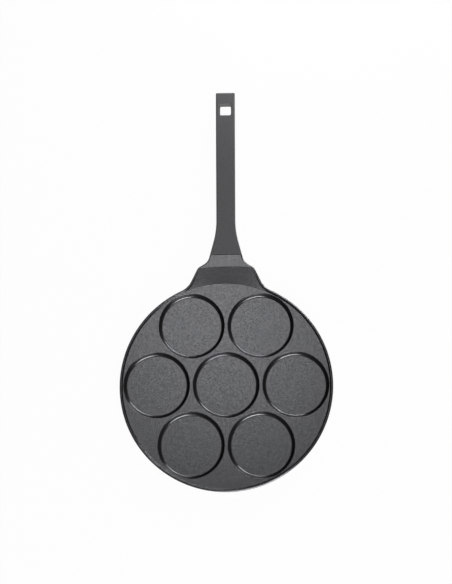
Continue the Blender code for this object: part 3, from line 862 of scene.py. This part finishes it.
def build_casting():
    """The casting: slab with neck, base and tang, less the dish, the bay and the recesses."""
    p, f = pan(), fixing()
    body = loft("casting", [lifted(pan_outline(inset), z) for inset, z in wall_section()])
    boolean(body, base_pad(), "UNION")
    tang = prism("tang", tang_outline(0.0, TANG_ROOT, f.tang_length), -tang_depth(), 0.0,
                 tang_frame())
    boolean(body, tang, "UNION")
    boolean(body, dish_tool())
    boolean(body, bay_tool())
    bore = f.screw_diameter / 2 + FIT_GAP
    ends = (CUT_OVER, -tang_depth() - CUT_OVER)
    boolean(body, turned("bore", [(bore, z) for z in ends], SMALL_STEPS, screw_frame()))
    recess = turned("recess", recess_profile(), RECESS_STEPS)
    ring_radius = foot_radius() - p.recess_to_wall - p.recess_radius
    run_tree(body, recess_tree(), {"Recess": recess, "Count": p.recess_count,
                                   "Ring radius": ring_radius,
                                   "Material": cached("speckled_coating")})
    bpy.data.objects.remove(recess, do_unlink=True)
    body.data.materials.append(cached("turned_base"))
    for face in body.data.polygons:
        if face.center.z < p.wall_foot_z / 2 and face.normal.z < 0.0:
            face.material_index = len(body.data.materials) - 1
    shade(body)
    return body


# The handle

def half_width(y):
    """Half the handle's width at this place along it."""
    g = grip()
    foot = (SEAM_HALF_WIDTH, seam_y())
    end = (g.end_half_width, HANDLE_HIGH.y)
    straight = atan2(HANDLE_LENGTH, g.end_half_width - g.grip_half_width)
    corner = line_crossing(foot, pi / 2 + FLARE_ANGLE, end, straight)
    outline = [foot] + rounded_corner(foot, corner, end, FLARE_ROUND, FLARE_STEPS) + [end]
    for (x0, y0), (x1, y1) in zip(outline, outline[1:]):
        if y <= y1:
            return x0 + (x1 - x0) * (y - y0) / (y1 - y0)
    return g.end_half_width


def handle_top(y):
    """Height of the handle's top: it leaves the rim's level gently and levels out again."""
    g = grip()
    s = (y - seam_y()) / HANDLE_LENGTH
    extra = (tan(g.mid_slope) - tan(g.end_slope)) / 2
    rise = tan(g.end_slope) * s + extra * (s - sin(FULL_TURN * s) / FULL_TURN)
    return pan().rim_z + HANDLE_LENGTH * rise


def handle_depth(y):
    """Thickness of the handle, which changes from the neck's to the grip's."""
    s = min(max((y - seam_y()) / grip().depth_grows_over, 0.0), 1.0)
    return neck_depth() + (grip().grip_depth - neck_depth()) * s * s * (3 - 2 * s)


def handle_section(y, inset):
    """The handle's rounded section at y, drawn in by the inset where an end is rounded."""
    p = pan()
    wide = half_width(y) - inset
    high = handle_top(y) - inset
    low = handle_top(y) - handle_depth(y) + inset
    upper = max(p.top_edge - inset, LEAST_ROUND)
    under = max(p.under_edge - inset, LEAST_ROUND)
    narrow = wide - (handle_depth(y) - p.top_edge - p.under_edge) * tan(p.side_draft)
    half = arc((narrow - under, low + under), under, -pi / 2, 0.0, EDGE_STEPS)
    half += arc((wide - upper, high - upper), upper, 0.0, pi / 2, EDGE_STEPS)
    return [(x, y, z) for x, z in mirrored(half)]


def quarter_round(radius, turn=pi / 2):
    """Pairs of offsets round an edge: one grows from nothing, the other shrinks from the radius."""
    turns = [turn * i / EDGE_STEPS for i in range(EDGE_STEPS + 1)]
    return [(radius * (1 - cos(a)), radius * (1 - sin(a))) for a in turns]


def handle_rings():
    """The handle's sections from the seam to its end."""
    g = grip()
    face, end = HANDLE_LOW.y + SEAM_OPEN, HANDLE_HIGH.y
    first, last = face + g.front_edge, end - g.end_edge
    stations = [(face + inside, inset) for inside, inset in quarter_round(g.front_edge)]
    stations += [(first + (last - first) * i / HANDLE_STEPS, 0.0) for i in range(1, HANDLE_STEPS)]
    stations += [(end - inside, inset) for inside, inset in reversed(quarter_round(g.end_edge))]
    return [handle_section(y, inset) for y, inset in stations]


def hole_ring(outset, z):
    """The hanging hole's outline at one height, widened where its edge is rounded."""
    g = grip()
    corners = rectangle(g.hole_width / 2 + outset, g.hole_length / 2 + outset)
    return lifted(rounded_outline(corners, g.hole_corner + outset), z)


def hole_tool():
    """What the hanging hole removes, square to the handle's top, with both its edges rounded."""
    g = grip()
    edge = run_on(quarter_round(g.hole_edge, HOLE_EDGE_TURN), -CUT_OVER)
    rings = [hole_ring(outset, -inside) for outset, inside in reversed(edge)]
    rings += [hole_ring(outset, inside - g.grip_depth) for outset, inside in edge]
    y = HANDLE_HIGH.y - g.hole_to_end - g.hole_length / 2
    rise = handle_top(y + g.hole_length / 2) - handle_top(y - g.hole_length / 2)
    place = Matrix.Translation((0.0, y, handle_top(y)))
    return loft("hole", rings, place @ Matrix.Rotation(atan2(rise, g.hole_length), 4, "X"))


def underside_below_tang():
    """Distance from the tang's top face, at the screw, down to the handle's underside."""
    y = seam_y() + screw_along() * cos(fixing().tang_slope)
    tang_top = tang_frame() @ Vector((0.0, screw_along(), 0.0))
    return tang_top.z - (handle_top(y) - handle_depth(y))


def head_face():
    """Where the screw's head ends, along the screw's axis."""
    return -underside_below_tang() + SCREW_BELOW_SKIN


def washer_seat():
    """The floor of the counterbore, on which the spring washer bears."""
    return head_face() + fixing().head_height + fixing().washer_thickness + 2 * FIT_GAP


def screw_way():
    """The counterbore for the head and the clearance hole for the shank."""
    f = fixing()
    wide = f.head_diameter / 2 + COUNTERBORE_CLEARANCE
    shank = f.screw_diameter / 2 + FIT_GAP
    profile = [(shank, -tang_depth() / 2), (shank, washer_seat()), (wide, washer_seat()),
               (wide, head_face() - CUT_OVER)]
    return turned("screw_way", profile, SMALL_STEPS, screw_frame())


def build_handle():
    """The moulded handle, less its socket, the hanging hole and the way for the screw."""
    handle = loft("moulded_handle", handle_rings())
    socket = prism("socket", tang_outline(FIT_GAP, TANG_ROOT, fixing().tang_length + FIT_GAP),
                   -tang_depth() - FIT_GAP, FIT_GAP, tang_frame())
    for tool in (socket, hole_tool(), screw_way()):
        boolean(handle, tool)
    handle.data.materials.append(cached("grained_moulding"))
    shade(handle)
    return handle


# The screw and the washer

def thread_ring(z, tip_end, head_end):
    """A section through the thread, which fades out at both ends."""
    f = fixing()
    from_tip = max((tip_end - z) / f.thread_pitch, 0.0)
    from_head = max((z - head_end) / f.thread_pitch, 0.0)
    depth = THREAD_DEPTH * min(from_tip, from_head, 1.0)
    ring = []
    for i in range(SMALL_STEPS):
        phase = (z / f.thread_pitch - i / SMALL_STEPS) % 1.0
        radius = f.screw_diameter / 2 - depth * abs(2 * phase - 1)
        turn = FULL_TURN * i / SMALL_STEPS
        ring.append((radius * cos(turn), radius * sin(turn), z))
    return ring


def build_screw():
    """The screw: threaded shank, domed head and cross recess."""
    f = fixing()
    head = f.head_diameter / 2
    seat = head_face() + f.head_height
    rows = ceil(-seat / f.thread_pitch * THREAD_ROWS)
    rings = [level_ring(f.screw_diameter / 2 - TIP_CHAMFER, 0.0, SMALL_STEPS)]
    rings += [thread_ring(seat * j / rows, -TIP_CHAMFER, seat) for j in range(1, rows + 1)]
    turns = [pi / 2 * i / EDGE_STEPS for i in range(EDGE_STEPS)]
    dome = [(head * cos(a), head_face() + HEAD_DOME - HEAD_DOME * sin(a)) for a in turns]
    profile = [(head - HEAD_EDGE, seat), (head, seat - HEAD_EDGE)] + dome
    rings += [level_ring(r, z, SMALL_STEPS) for r, z in profile]
    screw = loft("cross_screw", rings, screw_frame())
    high = head_face() + DRIVE_DEPTH
    low = head_face() - CUT_OVER
    grow = 1.0 + CUT_OVER / DRIVE_DEPTH * DRIVE_FLARE
    deep = (DRIVE_WIDTH * DRIVE_DEEP_WIDTH, DRIVE_SPAN * DRIVE_DEEP_SPAN)
    mouth = (DRIVE_WIDTH * grow, DRIVE_SPAN * grow)
    for name, order in (("drive_along", 1), ("drive_across", -1)):
        boolean(screw, wedge(name, deep[::order], mouth[::order], high, low, screw_frame()))
    screw.data.materials.append(cached("zinc_plating"))
    shade(screw)
    return screw


def washer_tree():
    """A rounded bar swept along one turn of a flat helix, open at the split."""
    tree, start, end = node_group(
        "spring_washer", "GeometryNodeTree",
        [("Geometry", "NodeSocketGeometry", None), ("Radius", "NodeSocketFloat", 3.7 * MM),
         ("Turns", "NodeSocketFloat", 0.95), ("Rise", "NodeSocketFloat", 0.0),
         ("Width", "NodeSocketFloat", 1.8 * MM), ("Thickness", "NodeSocketFloat", 1.1 * MM),
         ("Edge", "NodeSocketFloat", 0.1 * MM), ("Material", "NodeSocketMaterial", None)],
        [("Geometry", "NodeSocketGeometry")])
    helix = add_node(tree, "GeometryNodeCurveSpiral",
                     {"Resolution": WASHER_STEPS, "Rotations": start.outputs["Turns"],
                      "Start Radius": start.outputs["Radius"],
                      "End Radius": start.outputs["Radius"], "Height": start.outputs["Rise"]})
    upright = add_node(tree, "GeometryNodeSetCurveNormal", {"Curve": helix.outputs[0]},
                       mode="Z_UP")
    bar = add_node(tree, "GeometryNodeCurvePrimitiveQuadrilateral",
                   {"Width": start.outputs["Width"], "Height": start.outputs["Thickness"]})
    rounded = add_node(tree, "GeometryNodeFilletCurve",
                       {"Curve": bar.outputs[0], "Radius": start.outputs["Edge"],
                        "Count": WASHER_EDGE_STEPS}, mode="POLY")
    swept = add_node(tree, "GeometryNodeCurveToMesh",
                     {"Curve": upright.outputs[0], "Profile Curve": rounded.outputs[0],
                      "Fill Caps": True})
    return close_tree(tree, start, end, swept.outputs[0])


def build_washer():
    """The split spring washer between the screw's head and the handle."""
    f = fixing()
    inner, outer = f.screw_diameter / 2 + FIT_GAP, f.washer_diameter / 2
    middle = (inner + outer) / 2
    thick = f.washer_thickness - WASHER_RISE
    washer = add_object("split_washer", bpy.data.meshes.new("split_washer"))
    run_tree(washer, washer_tree(), {
        "Radius": middle, "Turns": 1.0 - f.washer_split / (FULL_TURN * middle),
        "Rise": WASHER_RISE, "Width": outer - inner, "Thickness": thick,
        "Edge": WASHER_EDGE, "Material": cached("zinc_plating")})
    high = washer_seat() - FIT_GAP
    start = Matrix.Translation((0.0, 0.0, high - f.washer_thickness + thick / 2))
    washer.data.transform(screw_frame() @ start)
    form = bmesh.new()
    form.from_mesh(washer.data)
    bmesh.ops.remove_doubles(form, verts=form.verts, dist=MERGE_DISTANCE)
    bmesh.ops.recalc_face_normals(form, faces=form.faces)
    form.to_mesh(washer.data)
    form.free()
    shade(washer)
    return washer


# The stage

CAMERA_PLACE = (62.558 * MM, -297.896 * MM, 1756.878 * MM)
CAMERA_TILT = radians(13.4735)
CAMERA_PAN = radians(1.9959)
CAMERA_ROLL = radians(-0.5590)
FOCAL_PIXELS = 1400.0
LONG_SIDE_PIXELS = 584
SENSOR_MM = 36.0
VIEW_REACH = 50.0
FLOOR_SIZE = 12.0
FLOOR_ROUGHNESS = 0.9
FLOOR_GAP = 0.1 * MM              # between the base face and the floor
WHITE_SHARE = 0.97                # of the floor's look, the rest shows the shadow
WORLD_LEVEL = 0.03
WHITE = (1.0, 1.0, 1.0, 1.0)

# Softboxes: azimuth from +X and elevation in degrees, distance, width and height in metres, watts
LAMPS = {
    "overhead_softbox": (100.5, 74.0, 14.0, 2.8, 4.5, 76.0),
    "back_right_softbox": (57.0, 12.0, 1.8, 0.7, 0.5, 13.0),
    "front_right_softbox": (-71.0, 26.0, 1.8, 1.25, 0.85, 28.0),
    "handle_softbox": (82.0, 25.0, 0.83, 0.3, 0.3, 1.7),
}


def floor_material():
    """Pale ground that reads as a white sweep, keeps the pan's shadow and is clear from below."""
    material, tree, shader = new_material("pale_floor", Roughness=FLOOR_ROUGHNESS,
                                          Base_Color=(*finish().floor, 1.0))
    white = add_node(tree, "ShaderNodeEmission", {"Color": WHITE, "Strength": 1.0})
    ray = add_node(tree, "ShaderNodeLightPath").outputs
    seen = maths(tree, "MAXIMUM", ray["Is Camera Ray"], ray["Is Glossy Ray"])
    seen = maths(tree, "MAXIMUM", seen, ray["Is Transmission Ray"])
    part = maths(tree, "MULTIPLY", seen, WHITE_SHARE)
    mixed = add_node(tree, "ShaderNodeMixShader",
                     {0: part, 1: shader.outputs[0], 2: white.outputs[0]})
    back = add_node(tree, "ShaderNodeNewGeometry").outputs["Backfacing"]
    clear = add_node(tree, "ShaderNodeBsdfTransparent")
    one_sided = add_node(tree, "ShaderNodeMixShader",
                         {0: back, 1: mixed.outputs[0], 2: clear.outputs[0]})
    tree.links.new(one_sided.outputs[0], tree.nodes["Material Output"].inputs["Surface"])
    return material


def build_floor():
    """The ground, just below the base face."""
    corners = rectangle(FLOOR_SIZE / 2, FLOOR_SIZE / 2)
    mesh = bpy.data.meshes.new("floor")
    mesh.from_pydata(lifted(corners, -FLOOR_GAP), [], [(0, 1, 2, 3)])
    mesh.materials.append(floor_material())
    add_object("floor", mesh)


def build_lamp(name, azimuth, elevation, distance, width, height, watts):
    """A softbox that faces the middle of the pan."""
    lamp = bpy.data.lights.new(name, "AREA")
    lamp.shape = "RECTANGLE"
    lamp.size = width
    lamp.size_y = height
    lamp.energy = watts
    obj = add_object(name, lamp)
    a, e = radians(azimuth), radians(elevation)
    back = Vector((cos(a) * cos(e), sin(a) * cos(e), sin(e)))
    obj.location = back * distance
    obj.rotation_euler = back.to_track_quat("Z", "Y").to_euler()
    obj.visible_camera = False


def build_world():
    """A faint even fill, which the camera sees as white."""
    world = bpy.data.worlds.new("studio")
    world.use_nodes = True
    tree = world.node_tree
    fill = tree.nodes["Background"]
    fill.inputs["Color"].default_value = WHITE
    fill.inputs["Strength"].default_value = WORLD_LEVEL
    white = add_node(tree, "ShaderNodeBackground", {"Color": WHITE, "Strength": 1.0})
    ray = add_node(tree, "ShaderNodeLightPath")
    mixed = add_node(tree, "ShaderNodeMixShader",
                     {0: ray.outputs["Is Camera Ray"], 1: fill.outputs[0], 2: white.outputs[0]})
    tree.links.new(mixed.outputs[0], tree.nodes["World Output"].inputs["Surface"])
    bpy.context.scene.world = world


def build_camera():
    """The camera, where the photograph was taken from."""
    camera = bpy.data.cameras.new("camera")
    camera.sensor_width = SENSOR_MM
    camera.lens = FOCAL_PIXELS * SENSOR_MM / LONG_SIDE_PIXELS
    camera.clip_end = VIEW_REACH
    obj = add_object("camera", camera)
    turn = (Matrix.Rotation(CAMERA_TILT, 4, "X") @ Matrix.Rotation(CAMERA_PAN, 4, "Y")
            @ Matrix.Rotation(CAMERA_ROLL, 4, "Z"))
    obj.matrix_world = Matrix.Translation(CAMERA_PLACE) @ turn
    bpy.context.scene.camera = obj


# The add-on

class PANCAKE_OT_casting(Operator):
    """Build the coated casting with its recesses, rim, bay, neck and turned base"""
    bl_idname = "pancake.casting"
    bl_label = "Casting"

    def execute(self, context):
        place_piece(build_casting(), "pan_body")
        return {"FINISHED"}


class PANCAKE_OT_handle(Operator):
    """Build the moulded handle with its hanging hole"""
    bl_idname = "pancake.handle"
    bl_label = "Handle"

    def execute(self, context):
        place_piece(build_handle(), "handle")
        return {"FINISHED"}


class PANCAKE_OT_screw(Operator):
    """Build the screw that holds the handle"""
    bl_idname = "pancake.screw"
    bl_label = "Screw"

    def execute(self, context):
        place_piece(build_screw(), "handle_screw")
        return {"FINISHED"}


class PANCAKE_OT_washer(Operator):
    """Build the spring washer under the screw's head"""
    bl_idname = "pancake.washer"
    bl_label = "Spring Washer"

    def execute(self, context):
        place_piece(build_washer(), "spring_washer")
        return {"FINISHED"}


class PANCAKE_OT_stage(Operator):
    """Set up the floor, the softboxes and the camera"""
    bl_idname = "pancake.stage"
    bl_label = "Stage"

    def execute(self, context):
        build_floor()
        build_world()
        for name, settings in LAMPS.items():
            build_lamp(name, *settings)
        build_camera()
        context.scene.view_settings.view_transform = "Standard"
        return {"FINISHED"}


class PANCAKE_PT_panel(Panel):
    """Lists the pieces and their sizes"""
    bl_label = "Pancake Pan"
    bl_idname = "PANCAKE_PT_panel"
    bl_space_type = "VIEW_3D"
    bl_region_type = "UI"
    bl_category = "Pancake Pan"

    def draw(self, context):
        for operator in OPERATORS:
            self.layout.operator(operator.bl_idname)
        for name in GROUPS:
            group = getattr(context.scene, name)
            box = self.layout.box()
            for key in group.bl_rna.properties.keys():
                if key not in {"rna_type", "name"}:
                    box.prop(group, key)


OPERATORS = (PANCAKE_OT_casting, PANCAKE_OT_handle, PANCAKE_OT_screw, PANCAKE_OT_washer,
             PANCAKE_OT_stage)
GROUPS = {
    "pancake_casting": CastingSizes,
    "pancake_handle": HandleSizes,
    "pancake_fixing": FasteningSizes,
    "pancake_finish": Finishes,
}


def register():
    """Register the settings, the operators and the panel."""
    for name, group in GROUPS.items():
        bpy.utils.register_class(group)
        setattr(bpy.types.Scene, name, PointerProperty(type=group))
    for item in (*OPERATORS, PANCAKE_PT_panel):
        bpy.utils.register_class(item)


def unregister():
    """Take the panel, the operators and the settings away again."""
    for item in (PANCAKE_PT_panel, *reversed(OPERATORS)):
        bpy.utils.unregister_class(item)
    for name, group in GROUPS.items():
        delattr(bpy.types.Scene, name)
        bpy.utils.unregister_class(group)


def main():
    """Build each piece and the stage."""
    register()
    bpy.ops.pancake.casting()
    bpy.ops.pancake.handle()
    bpy.ops.pancake.screw()
    bpy.ops.pancake.washer()
    bpy.ops.pancake.stage()


if __name__ == "__main__":
    main()
